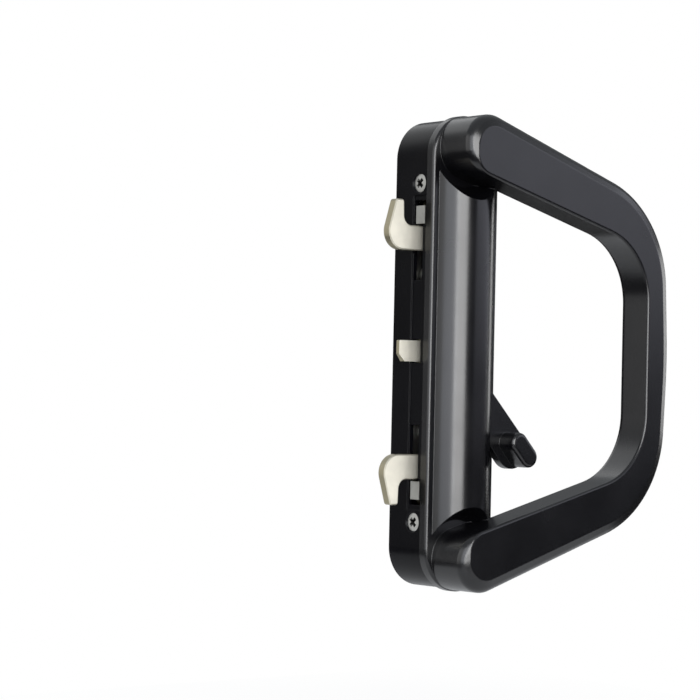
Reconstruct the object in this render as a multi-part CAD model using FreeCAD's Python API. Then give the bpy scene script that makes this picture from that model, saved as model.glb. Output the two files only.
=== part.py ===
import FreeCAD, Part
import math
import os

# Inside pull of a sliding patio door with its twin hook lock, in millimetres.
# The origin is the middle of the case's back, which lies on the door leaf.
# X runs from the hooks towards the grip, -Y points into the room and Z is up.
# Depths are measured from the door leaf towards the room.

# Lock case
CASE_WIDTH = 33.0
CASE_LENGTH = 192.0
CASE_DEPTH = 20.5
CASE_WALL = 2.5
BACK_WALL = 2.5
SIDE_RECESS = 0.7
SIDE_RECESS_LENGTH = 128.0
SIDE_RECESS_BACK = 11.0

# Pull handle casting
FLANGE_WIDTH = 35.0
FLANGE_LENGTH = 194.0
FLANGE_THICKNESS = 4.5
FLANGE_RIM = 1.2
COLUMN_WIDTH = 28.8
COLUMN_RISE = 10.0
COLUMN_WALL = 2.6
COLUMN_COVE_BASE = 15.5
COLUMN_COVE_CREST = 21.0
CAVITY_LENGTH = 118.0
BAR_RISE = 20.0
BAR_THICKNESS = 17.0
BAR_FRONT_EDGE = 1.0
BAR_BEVEL_WIDTH = 5.0
BAR_BEVEL_DEPTH = 2.2
BAR_RIDGE_EDGE = 4.0
BOSS_BEVEL_SHARE = 0.7
BAR_BACK_EDGE = 3.0
BOSS_LEFT = 14.3
BOSS_CORNER = 12.2
STEM_RADIUS = 16.2
BOSS_INSET = 0.8
ARM_OUTER_SLOPE = 18.5
ARM_WIDTH = 26.2
ARM_INNER_SLOPE = 15.6
GRIP_INNER = 85.5
GRIP_WIDTH = 14.5
GRIP_BOW = 2.5
GRIP_BOW_CREST = 0.6
GRIP_BOW_RADIUS = 260.0
OUTER_CORNER = 47.0
INNER_CORNER = 30.0
LUG_WIDTH = 7.0
LUG_REACH = 7.5
LUG_DEPTH = 10.5
LIP_THICKNESS = 1.8
LIP_DEPTH = 3.5
LIP_LENGTH = 7.0
LIP_Z = 74.0

# Fixing to the door leaf
BOLT_SPACING = 136.6
BOLT_HOLE_RADIUS = 2.75
BOLT_PAD_RADIUS = 6.0
BOLT_PAD_HEIGHT = 1.0

# Side screws that hold the casting to the case
SIDE_SCREW_SPACING = 138.0
SIDE_SCREW_DEPTH = 14.7
SIDE_SCREW_HEAD = 4.1
SIDE_SCREW_SHANK = 2.0
SIDE_SCREW_LENGTH = 8.5
SIDE_SCREW_SUNK = 0.2
CROSS_WIDTH = 1.0
CROSS_SPAN = 4.6
CROSS_DEPTH = 0.9

# Mechanism plate and its screws
PLATE_THICKNESS = 1.8
PLATE_LENGTH = 122.0
PLATE_LEFT = 12.6
PLATE_RIGHT = 13.2
PLATE_CORNER = 3.0
PLATE_EAR_LEFT = 4.0
PLATE_EAR_TOP = 68.0
PLATE_EAR_ROUND = 1.5
TAB_REACH = 15.9
TAB_THICKNESS = 1.7
TAB_DEPTH = 12.4
TAB_BOTTOM = 52.4
TAB_TOP = 59.8
POST_FAR_X = 8.6
POST_FAR_Z = 63.5
POST_NEAR_X = 9.3
POST_NEAR_Z = 20.0
POST_RADIUS = 2.9
PLATE_SCREW_RADIUS = 1.5
PLATE_SCREW_HEAD = 2.6
PLATE_SCREW_HEAD_HEIGHT = 1.6
PLATE_SCREW_LENGTH = 9.0
HEAD_RELIEF = 1.4

# Hooks
HOOK_THICKNESS = 4.3
HOOK_DEPTH = 11.5
HOOK_PIVOT_X = -5.0
HOOK_PIVOT_Z = 57.0
HOOK_HUB_RADIUS = 8.0
HOOK_ARM_DROP = 5.5
HOOK_ARM_HEIGHT = 10.1
HOOK_THROAT = 8.0
HOOK_TIP_RISE = 10.4
HOOK_TIP_WIDTH = 4.4
HOOK_TIP_LEAN = 0.3
HOOK_TIP_ROUND = 1.4
HOOK_TIP_INNER_ROUND = 1.2
HOOK_THROAT_ROUND = 4.0
HOOK_HEEL_REACH = 18.4
HOOK_HEEL_ROUND = 7.5
HOOK_SHOULDER_X = -14.0
HOOK_SHOULDER_ROUND = 6.0
HOOK_EDGE = 0.5
HOOK_SWING = 90.0
HOOK_PIN_ORBIT = 5.5
HOOK_SLOT_TOP = 62.0
HOOK_SLOT_BOTTOM = 29.5
SIDE_SLOT_FRONT = 16.8
PIVOT_RADIUS = 2.5
PIVOT_HEAD_RADIUS = 3.4
PIVOT_HEAD_HEIGHT = 1.4
DRIVE_PIN_RADIUS = 1.4

# Drive slide and its guide screws
SLIDE_THICKNESS = 2.2
SLIDE_LEFT = 13.3
SLIDE_RIGHT = 1.8
SLIDE_FOOT_RIGHT = 4.2
SLIDE_MARGIN = 1.8
SLIDE_CORNER = 1.2
GUIDE_X = -7.6
GUIDE_Z = 32.0
GUIDE_RADIUS = 2.0
GUIDE_PAD_RADIUS = 3.6
GUIDE_HEAD_RADIUS = 3.4
GUIDE_HEAD_HEIGHT = 1.4
GUIDE_THREAD = 3.5

# Tailpiece hub
HUB_RADIUS = 5.5
HUB_DISC_RADIUS = 9.4
HUB_DISC_THICKNESS = 2.0
HUB_PAD_RADIUS = 9.0
HUB_PAD_HEIGHT = 1.4
HUB_SWING = 70.0
TAILPIECE_WIDTH = 2.4
TAILPIECE_HEIGHT = 7.0

# Thumb lever and its shaft
LEVER_Z = -13.0
LEVER_ANGLE = -47.3
LEVER_SWING = 50.0
LEVER_LENGTH = 35.4
LEVER_HUB_RADIUS = 7.4
LEVER_END_RADIUS = 7.9
LEVER_THICKNESS = 3.8
LEVER_BOSS_DEPTH = 2.2
LEVER_WINDOW_MARGIN = 2.5
KNOB_LENGTH = 16.4
KNOB_WIDTH = 8.6
KNOB_HEIGHT = 8.6
KNOB_EDGE = 1.6
SHAFT_RADIUS = 3.0
SHAFT_SQUARE = 4.2
BUSH_WALL = 1.5
BUSH_FLANGE = 1.2
BUSH_FLANGE_THICKNESS = 1.0
BUSH_LENGTH = 5.0
CRANK_THICKNESS = 2.2
CRANK_PIN_RADIUS = 1.4
CRANK_MARGIN = 1.6
LEVER_SCREW_HEAD = 3.2
LEVER_SCREW_HEAD_HEIGHT = 1.4
LEVER_SCREW_RADIUS = 1.25
LEVER_SCREW_LENGTH = 5.0

# Centre plunger and its spring
PLUNGER_THICKNESS = 3.6
PLUNGER_TOP = 4.8
PLUNGER_BOTTOM = -3.8
PLUNGER_REACH = 9.3
PLUNGER_BEVEL = 3.0
PLUNGER_CORNER = 0.6
PLUNGER_NOSE = 1.8
PLUNGER_NOSE_LENGTH = 5.0
PLUNGER_TAIL = 10.0
PLUNGER_SHOULDER = 1.0
PLUNGER_SHOULDER_LENGTH = 2.0
SPRING_RADIUS = 1.5
SPRING_WIRE = 0.25
SPRING_PITCH = 2.25
SPRING_LENGTH = 14.0
SPRING_SEAT_THICKNESS = 1.6
SPRING_SEAT_HEIGHT = 7.0
SPRING_STEM_RADIUS = 0.9
SPRING_STEM_LENGTH = 3.0

# Clearances
RUNNING = 0.05
SEAT = 0.02
MOVING_GAP = 0.4
SLOT_PLAY = 0.5
SAME_DEPTH = 1e-4

# Depths of the layers, from the door leaf
FLANGE_FRONT = CASE_DEPTH + FLANGE_THICKNESS
BAR_FRONT = FLANGE_FRONT + BAR_RISE
ARM_OUTER_HEIGHT = FLANGE_LENGTH / 2 - BOSS_INSET
ARM_INNER_HEIGHT = ARM_OUTER_HEIGHT - ARM_WIDTH
BAR_BACK = BAR_FRONT - BAR_THICKNESS
HOOK_FRONT = HOOK_DEPTH + HOOK_THICKNESS
PLATE_BACK = HOOK_FRONT + MOVING_GAP
PLATE_FRONT = PLATE_BACK + PLATE_THICKNESS
HUB_DISC_BACK = BACK_WALL + HUB_PAD_HEIGHT + MOVING_GAP
HUB_DISC_FRONT = HUB_DISC_BACK + HUB_DISC_THICKNESS
SLIDE_BACK = HUB_DISC_FRONT + MOVING_GAP
SLIDE_FRONT = SLIDE_BACK + SLIDE_THICKNESS
CRANK_BACK = SLIDE_FRONT + MOVING_GAP
CRANK_FRONT = CRANK_BACK + CRANK_THICKNESS
LEVER_BACK = FLANGE_FRONT + MOVING_GAP
LEVER_FRONT = LEVER_BACK + LEVER_THICKNESS
SIDE_FACE = -CASE_WIDTH / 2
INNER_SIDE = SIDE_FACE + CASE_WALL

# Travel of the drive slide, set by the hooks' swing, and the cranks that match it
SLIDE_TRAVEL = 2 * HOOK_PIN_ORBIT * math.sin(math.radians(HOOK_SWING / 2))
CRANK_ORBIT = SLIDE_TRAVEL / 2 / math.sin(math.radians(LEVER_SWING / 2))
HUB_ORBIT = SLIDE_TRAVEL / 2 / math.sin(math.radians(HUB_SWING / 2))

# Half-round column: its radius and the depth of its centre line
COLUMN_RADIUS = (COLUMN_WIDTH ** 2 / 4 + COLUMN_RISE ** 2) / (2 * COLUMN_RISE)
COLUMN_AXIS = FLANGE_FRONT + COLUMN_RISE - COLUMN_RADIUS

TOWARDS_ROOM = FreeCAD.Vector(0, -1, 0)
ALONG_X = FreeCAD.Vector(1, 0, 0)
UP = FreeCAD.Vector(0, 0, 1)


def at(x, depth, z):
    """Return the point at a depth from the door leaf."""
    return FreeCAD.Vector(x, -depth, z)


def slab(outline, back, front):
    """Extrude an outline drawn in the XZ plane between two depths."""
    solid = Part.Face(outline).extrude(TOWARDS_ROOM * (front - back))
    solid.translate(TOWARDS_ROOM * back)
    return solid


def disc(x, z, radius, back, front):
    """Return a cylinder along the depth."""
    return Part.makeCylinder(radius, front - back, at(x, back, z), TOWARDS_ROOM)


def block(left, right, back, front, bottom, top):
    """Return a box between two places along X, depth and Z."""
    return Part.makeBox(right - left, front - back, top - bottom, at(left, front, bottom))


def polar(angle, radius):
    """Return the X and Z offsets of a point on a circle."""
    return radius * math.cos(math.radians(angle)), radius * math.sin(math.radians(angle))


def stadium(width, length):
    """Return an upright outline with straight sides and round ends."""
    half = width / 2
    straight = length / 2 - half
    corners = [(-half, -straight), (-half, straight), (half, straight), (half, -straight)]
    low_left, high_left, high_right, low_right = [FreeCAD.Vector(x, 0, z) for x, z in corners]
    top = FreeCAD.Vector(0, 0, length / 2)
    return Part.Wire([
        Part.LineSegment(low_left, high_left).toShape(),
        Part.Arc(high_left, top, high_right).toShape(),
        Part.LineSegment(high_right, low_right).toShape(),
        Part.Arc(low_right, -top, low_left).toShape(),
    ])


def rounded_outline(corners):
    """Return a closed outline from corners given as x, z and the radius of each rounding."""
    points = [FreeCAD.Vector(x, 0, z) for x, z, radius in corners]
    arcs = []
    for index, (x, z, radius) in enumerate(corners):
        corner = points[index]
        before = (points[index - 1] - corner).normalize()
        after = (points[(index + 1) % len(points)] - corner).normalize()
        half = before.getAngle(after) / 2
        reach = radius / math.tan(half)
        inward = (before + after).normalize()
        middle = corner + inward * (radius / math.sin(half) - radius)
        arcs.append((corner + before * reach, middle, corner + after * reach, radius))
    edges = []
    for index, (start, middle, end, radius) in enumerate(arcs):
        if radius > 0:
            edges.append(Part.Arc(start, middle, end).toShape())
        edges.append(Part.LineSegment(end, arcs[(index + 1) % len(arcs)][0]).toShape())
    return Part.Wire(edges)


def link_outline(x0, z0, radius0, x1, z1, radius1):
    """Return the outline that wraps two circles, as a lever or crank has."""
    first = FreeCAD.Vector(x0, 0, z0)
    last = FreeCAD.Vector(x1, 0, z1)
    along = last - first
    lean = (radius0 - radius1) / along.Length
    along.normalize()
    across = FreeCAD.Vector(-along.z, 0, along.x)
    left = along * lean + across * math.sqrt(1 - lean ** 2)
    right = along * lean - across * math.sqrt(1 - lean ** 2)
    return Part.Wire([
        Part.LineSegment(first + left * radius0, last + left * radius1).toShape(),
        Part.Arc(last + left * radius1, last + along * radius1, last + right * radius1).toShape(),
        Part.LineSegment(last + right * radius1, first + right * radius0).toShape(),
        Part.Arc(first + right * radius0, first - along * radius0, first + left * radius0).toShape(),
    ])


def flat_slot(left, right, z, radius, back, front):
    """Return a round-ended slot along X that takes a pin between two places."""
    return slab(link_outline(left, z, radius, right, z, radius), back, front)


def edges_at_depth(shape, depth):
    """Return the edges that lie flat at one depth."""
    def flat(edge):
        box = edge.BoundBox
        return abs(box.YMin + depth) < SAME_DEPTH and abs(box.YMax + depth) < SAME_DEPTH
    return [edge for edge in shape.Edges if flat(edge)]


def cross_recess(centre, axis):
    """Return the cutter of a cross recess in a screw head that faces against the axis."""
    arms = []
    for width, span in ((CROSS_WIDTH, CROSS_SPAN), (CROSS_SPAN, CROSS_WIDTH)):
        corner = FreeCAD.Vector(-width / 2, -span / 2, 0)
        arms.append(Part.makeBox(width, span, CROSS_DEPTH, corner))
    recess = arms[0].fuse(arms[1])
    recess.Placement = FreeCAD.Placement(centre, FreeCAD.Rotation(UP, axis))
    return recess


def pan_screw(x, z, seat, head_radius, head_height, radius, length):
    """Return a cheese-head screw driven towards the door leaf from a seat."""
    head = disc(x, z, head_radius, seat, seat + head_height)
    shank = disc(x, z, radius, seat - length, seat)
    recess = cross_recess(at(x, seat + head_height, z), -TOWARDS_ROOM)
    return head.fuse(shank).cut(recess)


def lock_case():
    """Die-cast box with open front, side slots and the posts that carry the lock."""
    case = slab(stadium(CASE_WIDTH, CASE_LENGTH), 0, CASE_DEPTH)
    cavity = stadium(CASE_WIDTH - 2 * CASE_WALL, CASE_LENGTH - 2 * CASE_WALL)
    case = case.cut(slab(cavity, BACK_WALL, CASE_DEPTH))
    rooted = BACK_WALL / 2
    pads = [disc(0, 0, HUB_PAD_RADIUS, rooted, BACK_WALL + HUB_PAD_HEIGHT)]
    holes = [disc(0, 0, HUB_RADIUS + RUNNING, 0, CASE_DEPTH)]
    half_recess = SIDE_RECESS_LENGTH / 2
    holes.append(block(SIDE_FACE, SIDE_FACE + SIDE_RECESS, SIDE_RECESS_BACK, CASE_DEPTH,
                       -half_recess, half_recess))
    slot_back = HOOK_DEPTH - MOVING_GAP
    holes.append(block(SIDE_FACE, INNER_SIDE, slot_back, SIDE_SLOT_FRONT,
                       PLUNGER_BOTTOM - MOVING_GAP, PLUNGER_TOP + MOVING_GAP))
    for side in (-1, 1):
        low, high = sorted((side * HOOK_SLOT_BOTTOM, side * HOOK_SLOT_TOP))
        holes.append(block(SIDE_FACE, INNER_SIDE, slot_back, SIDE_SLOT_FRONT, low, high))
        low, high = sorted((side * (TAB_BOTTOM - MOVING_GAP), side * HOOK_SLOT_TOP))
        holes.append(block(SIDE_FACE, INNER_SIDE, slot_back, CASE_DEPTH, low, high))
        bolt_z = side * BOLT_SPACING / 2
        pads.append(disc(0, bolt_z, BOLT_PAD_RADIUS, rooted, BACK_WALL + BOLT_PAD_HEIGHT))
        holes.append(disc(0, bolt_z, BOLT_HOLE_RADIUS, 0, CASE_DEPTH))
        guide_z = side * GUIDE_Z
        pads.append(disc(GUIDE_X, guide_z, GUIDE_PAD_RADIUS, rooted, SLIDE_BACK - MOVING_GAP))
        holes.append(disc(GUIDE_X, guide_z, GUIDE_RADIUS + SEAT,
                          SLIDE_BACK - MOVING_GAP - GUIDE_THREAD, SLIDE_BACK))
        holes.append(side_screw_hole(side))
    for post_x, post_z in post_places():
        pads.append(disc(post_x, post_z, POST_RADIUS, rooted, PLATE_BACK))
        holes.append(disc(post_x, post_z, PLATE_SCREW_RADIUS + SEAT,
                          PLATE_FRONT - PLATE_SCREW_LENGTH - SEAT, PLATE_FRONT))
    return case.fuse(pads).cut(holes).removeSplitter()


def post_places():
    """X and Z of the four posts that carry the mechanism plate."""
    near = [(POST_NEAR_X, side * POST_NEAR_Z) for side in (-1, 1)]
    far = [(POST_FAR_X, side * POST_FAR_Z) for side in (-1, 1)]
    return near + far


def side_screw_hole(side):
    """Return the countersunk hole for one side screw, with its sunk mouth."""
    mouth = at(SIDE_FACE, SIDE_SCREW_DEPTH, side * SIDE_SCREW_SPACING / 2)
    head = SIDE_SCREW_HEAD + RUNNING
    shank = SIDE_SCREW_SHANK + RUNNING
    sunk = Part.makeCylinder(head, SIDE_SCREW_SUNK, mouth, ALONG_X)
    cone_start = mouth + ALONG_X * SIDE_SCREW_SUNK
    cone = Part.makeCone(head, shank, head - shank, cone_start, ALONG_X)
    through = Part.makeCylinder(shank, CASE_WALL, mouth, ALONG_X)
    return sunk.fuse([cone, through])


def side_screws():
    """Two countersunk cross-head screws through the case's side into the casting's lugs."""
    screws = []
    for side in (-1, 1):
        top = at(SIDE_FACE + SIDE_SCREW_SUNK, SIDE_SCREW_DEPTH, side * SIDE_SCREW_SPACING / 2)
        taper = SIDE_SCREW_HEAD - SIDE_SCREW_SHANK
        head = Part.makeCone(SIDE_SCREW_HEAD, SIDE_SCREW_SHANK, taper, top, ALONG_X)
        shank = Part.makeCylinder(SIDE_SCREW_SHANK, SIDE_SCREW_LENGTH, top, ALONG_X)
        screws.append(head.fuse(shank).cut(cross_recess(top, ALONG_X)).removeSplitter())
    return Part.makeCompound(screws)


def bar_outline(inset):
    """Outline of the D bar: two sloping arms, a bowed grip and round ends over the bosses.

    The inset moves the outer edge inwards, as the bar's bevelled front does.
    """
    outer_fall = math.tan(math.radians(ARM_OUTER_SLOPE))
    inner_fall = math.tan(math.radians(ARM_INNER_SLOPE))
    outer_height = ARM_OUTER_HEIGHT - inset / math.cos(math.radians(ARM_OUTER_SLOPE))
    grip_outer = GRIP_INNER + GRIP_WIDTH - inset
    corner_outer = grip_outer - GRIP_BOW
    round_inset = inset * BOSS_BEVEL_SHARE
    left = BOSS_LEFT - round_inset
    boss_round = BOSS_CORNER - round_inset
    upper = [
        (-left, outer_height + outer_fall * left, boss_round),
        (corner_outer, outer_height - outer_fall * corner_outer, OUTER_CORNER - round_inset),
    ]
    inner = [
        (GRIP_INNER, ARM_INNER_HEIGHT - inner_fall * GRIP_INNER, INNER_CORNER),
        (-left, ARM_INNER_HEIGHT + inner_fall * left, boss_round),
    ]
    bow = [(grip_outer + GRIP_BOW_CREST, 0, GRIP_BOW_RADIUS)]
    lower = [(x, -z, radius) for x, z, radius in reversed(upper)]
    inner_lower = [(x, -z, radius) for x, z, radius in reversed(inner)]
    return rounded_outline(upper + bow + lower + inner_lower + inner)


def boss_centre():
    """X and height of the middle of each boss."""
    rise = (ARM_OUTER_HEIGHT + ARM_INNER_HEIGHT) / 2
    return BOSS_CORNER - BOSS_LEFT, rise


def d_bar():
    """The D bar with its two bosses, rooted in the flange below its rounded rim."""
    root = FLANGE_FRONT - FLANGE_RIM
    ridge = BAR_FRONT - BAR_BEVEL_DEPTH
    crown = [bar_outline(0), bar_outline(BAR_BEVEL_WIDTH)]
    crown[0].translate(TOWARDS_ROOM * ridge)
    crown[1].translate(TOWARDS_ROOM * BAR_FRONT)
    bar = slab(bar_outline(0), root, ridge).fuse(Part.makeLoft(crown, True, True)).removeSplitter()
    reach = GRIP_INNER + GRIP_WIDTH + GRIP_BOW
    undercut = block(-reach, reach, root, BAR_BACK, -FLANGE_LENGTH, FLANGE_LENGTH)
    boss_x, boss_z = boss_centre()
    stems = [disc(boss_x, side * boss_z, STEM_RADIUS, root, BAR_BACK) for side in (-1, 1)]
    bar = bar.cut(undercut.cut(stems)).removeSplitter()
    outer_ridge = [edge for edge in edges_at_depth(bar, ridge) if not has_radius(edge, INNER_CORNER)]
    bar = bar.makeFillet(BAR_RIDGE_EDGE, outer_ridge)
    bar = bar.makeFillet(BAR_FRONT_EDGE, edges_at_depth(bar, BAR_FRONT))
    back_rim = [edge for edge in edges_at_depth(bar, BAR_BACK) if not has_radius(edge, STEM_RADIUS)]
    return bar.makeFillet(BAR_BACK_EDGE, back_rim)


def has_radius(edge, radius):
    """Tell whether an edge is an arc of a given radius."""
    return edge.Curve.TypeId == "Part::GeomCircle" and abs(edge.Curve.Radius - radius) < SAME_DEPTH


def column():
    """Half-round column between the bosses, its ends coved around them."""
    length = FLANGE_LENGTH - FLANGE_WIDTH
    round_bar = Part.makeCylinder(COLUMN_RADIUS, length, at(0, COLUMN_AXIS, -length / 2), UP)
    front = block(-COLUMN_RADIUS, COLUMN_RADIUS, CASE_DEPTH, BAR_FRONT, -length, length)
    boss_x, boss_z = boss_centre()
    coves = []
    for side in (-1, 1):
        foot = at(boss_x, FLANGE_FRONT, side * boss_z)
        coves.append(Part.makeCone(COLUMN_COVE_BASE, COLUMN_COVE_CREST, COLUMN_RISE, foot, TOWARDS_ROOM))
    return round_bar.common(front).cut(coves)


def lever_window():
    """Slot in the column's grip side that the thumb lever swings in."""
    low = LEVER_Z + polar(LEVER_ANGLE, LEVER_LENGTH)[1] - LEVER_WINDOW_MARGIN
    high = LEVER_Z + LEVER_END_RADIUS + SLOT_PLAY
    half = math.radians(LEVER_ANGLE + LEVER_SWING)
    high = high + COLUMN_RADIUS * max(math.tan(half), 0)
    return block(0, COLUMN_RADIUS + MOVING_GAP, FLANGE_FRONT, LEVER_FRONT + MOVING_GAP, low, high)


def pull_handle():
    """One-piece casting: flange, column, bosses and D bar, hollow behind the column."""
    flange = slab(stadium(FLANGE_WIDTH, FLANGE_LENGTH), CASE_DEPTH, FLANGE_FRONT)
    flange = flange.makeFillet(FLANGE_RIM, edges_at_depth(flange, FLANGE_FRONT))
    casting = flange.fuse([column(), d_bar()])
    inner = COLUMN_RADIUS - COLUMN_WALL
    cavity = Part.makeCylinder(inner, CAVITY_LENGTH, at(0, COLUMN_AXIS, -CAVITY_LENGTH / 2), UP)
    casting = casting.cut([cavity, lever_window()])
    lugs = []
    threads = []
    for side in (-1, 1):
        middle = side * SIDE_SCREW_SPACING / 2
        left = INNER_SIDE + SEAT
        lugs.append(block(left, left + LUG_REACH, CASE_DEPTH - LUG_DEPTH, CASE_DEPTH,
                          middle - LUG_WIDTH / 2, middle + LUG_WIDTH / 2))
        lip_right = -INNER_SIDE - MOVING_GAP
        lugs.append(block(lip_right - LIP_THICKNESS, lip_right, CASE_DEPTH - LIP_DEPTH, CASE_DEPTH,
                          side * LIP_Z - LIP_LENGTH / 2, side * LIP_Z + LIP_LENGTH / 2))
        threads.append(Part.makeCylinder(SIDE_SCREW_SHANK + SEAT, LUG_REACH,
                                         at(left, SIDE_SCREW_DEPTH, middle), ALONG_X))
    return casting.fuse(lugs).cut(threads + head_reliefs()).removeSplitter()


def head_reliefs():
    """Shallow pockets in the casting's back that clear the mechanism screws' heads."""
    front = PLATE_FRONT + PLATE_SCREW_HEAD_HEIGHT + HEAD_RELIEF
    return [disc(x, z, PLATE_SCREW_HEAD + MOVING_GAP, PLATE_FRONT, front) for x, z in post_places()]


def mechanism_plate():
    """Steel plate that closes the lock and carries the hook pivots, lever bush and spring seat."""
    half = PLATE_LENGTH / 2
    upper = [
        (-PLATE_LEFT, half, PLATE_CORNER),
        (PLATE_EAR_LEFT, half, PLATE_EAR_ROUND),
        (PLATE_EAR_LEFT, PLATE_EAR_TOP, PLATE_CORNER),
        (PLATE_RIGHT, PLATE_EAR_TOP, PLATE_CORNER),
    ]
    lower = [(x, -z, radius) for x, z, radius in reversed(upper)]
    plate = slab(rounded_outline(upper + lower), PLATE_BACK, PLATE_FRONT)
    middle = plunger_middle()
    seat_left = spring_end()
    seat = block(seat_left, seat_left + SPRING_SEAT_THICKNESS, HOOK_DEPTH, PLATE_FRONT,
                 middle - SPRING_SEAT_HEIGHT / 2, middle + SPRING_SEAT_HEIGHT / 2)
    stem = Part.makeCylinder(SPRING_STEM_RADIUS, SPRING_STEM_LENGTH,
                             at(seat_left - SPRING_STEM_LENGTH, plunger_depth(), middle), ALONG_X)
    holes = [disc(0, LEVER_Z, SHAFT_RADIUS + BUSH_WALL + SEAT, PLATE_BACK, PLATE_FRONT)]
    for side in (-1, 1):
        holes.append(disc(HOOK_PIVOT_X, side * HOOK_PIVOT_Z, PIVOT_RADIUS + SEAT, PLATE_BACK, PLATE_FRONT))
    for post_x, post_z in post_places():
        holes.append(disc(post_x, post_z, PLATE_SCREW_RADIUS + RUNNING, PLATE_BACK, PLATE_FRONT))
    tabs = []
    for side in (-1, 1):
        low, high = sorted((side * TAB_BOTTOM, side * TAB_TOP))
        tabs.append(block(-TAB_REACH, -PLATE_LEFT + TAB_THICKNESS, PLATE_BACK, PLATE_FRONT, low, high))
        tabs.append(block(-TAB_REACH, -TAB_REACH + TAB_THICKNESS, TAB_DEPTH, PLATE_FRONT, low, high))
    return plate.fuse([seat, stem] + tabs).cut(holes).removeSplitter()


def mechanism_screws():
    """Four screws that hold the mechanism plate on the case's posts."""
    return Part.makeCompound([
        pan_screw(x, z, PLATE_FRONT, PLATE_SCREW_HEAD, PLATE_SCREW_HEAD_HEIGHT,
                  PLATE_SCREW_RADIUS, PLATE_SCREW_LENGTH)
        for x, z in post_places()
    ])


def hook_pivots():
    """Two headed pivots riveted in the mechanism plate, one for each hook."""
    pivots = []
    for side in (-1, 1):
        z = side * HOOK_PIVOT_Z
        head_front = HOOK_DEPTH - MOVING_GAP
        pin = disc(HOOK_PIVOT_X, z, PIVOT_RADIUS, head_front, PLATE_FRONT)
        head = disc(HOOK_PIVOT_X, z, PIVOT_HEAD_RADIUS, head_front - PIVOT_HEAD_HEIGHT, head_front)
        pivots.append(pin.fuse(head))
    return Part.makeCompound(pivots)


def hook_pin_place(side):
    """X and Z at rest of the pin that drives a hook."""
    lean = HOOK_SWING / 2
    angle = 180 - lean if side > 0 else lean
    x, z = polar(angle, HOOK_PIN_ORBIT)
    return HOOK_PIVOT_X + x, side * HOOK_PIVOT_Z + z


def eased(solid):
    """Break the sharp edges of a stamped hook piece on both faces."""
    rims = edges_at_depth(solid, HOOK_FRONT) + edges_at_depth(solid, HOOK_DEPTH)
    return solid.makeChamfer(HOOK_EDGE, rims)


def hook(side):
    """Lock hook: a hub, an arm through the case's slot and a tip that points away from the middle."""
    inner = SIDE_FACE - HOOK_THROAT
    outer = inner - HOOK_TIP_WIDTH
    heel = SIDE_FACE - HOOK_HEEL_REACH
    arm_top = HOOK_PIVOT_Z - HOOK_ARM_DROP
    arm_bottom = arm_top - HOOK_ARM_HEIGHT
    tip = arm_top + HOOK_TIP_RISE
    hub_x, hub_z = polar(-45, HOOK_HUB_RADIUS)
    corners = [
        (outer, tip, HOOK_TIP_ROUND),
        (inner - HOOK_TIP_LEAN, tip, HOOK_TIP_INNER_ROUND),
        (inner, arm_top, HOOK_THROAT_ROUND),
        (HOOK_PIVOT_X, arm_top, 0),
        (HOOK_PIVOT_X + hub_x, HOOK_PIVOT_Z + hub_z, 0),
        (HOOK_SHOULDER_X, arm_bottom, HOOK_SHOULDER_ROUND),
        (heel, arm_bottom, HOOK_HEEL_ROUND),
    ]
    pivot_z = side * HOOK_PIVOT_Z
    arm = slab(rounded_outline([(x, side * z, radius) for x, z, radius in corners]), HOOK_DEPTH, HOOK_FRONT)
    hub = disc(HOOK_PIVOT_X, pivot_z, HOOK_HUB_RADIUS, HOOK_DEPTH, HOOK_FRONT)
    body = eased(arm).fuse(eased(hub)).removeSplitter()
    pin_x, pin_z = hook_pin_place(side)
    return body.cut([
        disc(HOOK_PIVOT_X, pivot_z, PIVOT_RADIUS + RUNNING, HOOK_DEPTH, HOOK_FRONT),
        disc(pin_x, pin_z, DRIVE_PIN_RADIUS + SEAT, HOOK_DEPTH, HOOK_FRONT),
    ])


def hook_pin(side):
    """Pin pressed in a hook that reaches back into the drive slide."""
    x, z = hook_pin_place(side)
    return disc(x, z, DRIVE_PIN_RADIUS, SLIDE_BACK, HOOK_FRONT)


def crank_pin_place():
    """X and Z at rest of the lever crank's pin."""
    x, z = polar(180 - LEVER_SWING / 2, CRANK_ORBIT)
    return x, LEVER_Z + z


def hub_pin_place():
    """X and Z at rest of the tailpiece hub's pin."""
    return polar(180 - HUB_SWING / 2, HUB_ORBIT)


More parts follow.
